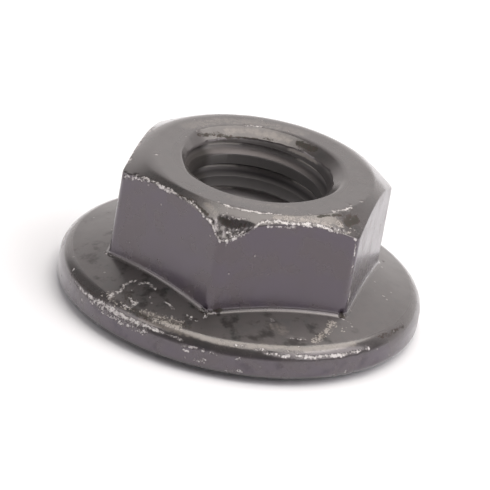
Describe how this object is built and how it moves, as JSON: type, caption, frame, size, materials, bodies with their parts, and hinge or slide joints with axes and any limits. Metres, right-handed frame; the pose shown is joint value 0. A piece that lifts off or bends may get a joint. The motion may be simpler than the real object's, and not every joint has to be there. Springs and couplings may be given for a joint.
{
  "type": "serrated flange nut",
  "caption": "Blackened steel hexagon nut with a built-on round flange, saw-tooth serrations on the bearing face and a through thread.",
  "frame": {"origin": "centre of the bearing plane, which the crests of the serrations lie on", "axes": "+Z along the bore towards the hexagon's top face, +X through two corners of the hexagon, +Y through two of its flats"},
  "size_m": [0.0118, 0.0118, 0.0049],
  "materials": {
    "black_steel": "glossy black oxide, worn bright along the edges"
  },
  "bodies": {
    "root": {"flange_nut": "black_steel"}
  },
  "joints": []
}
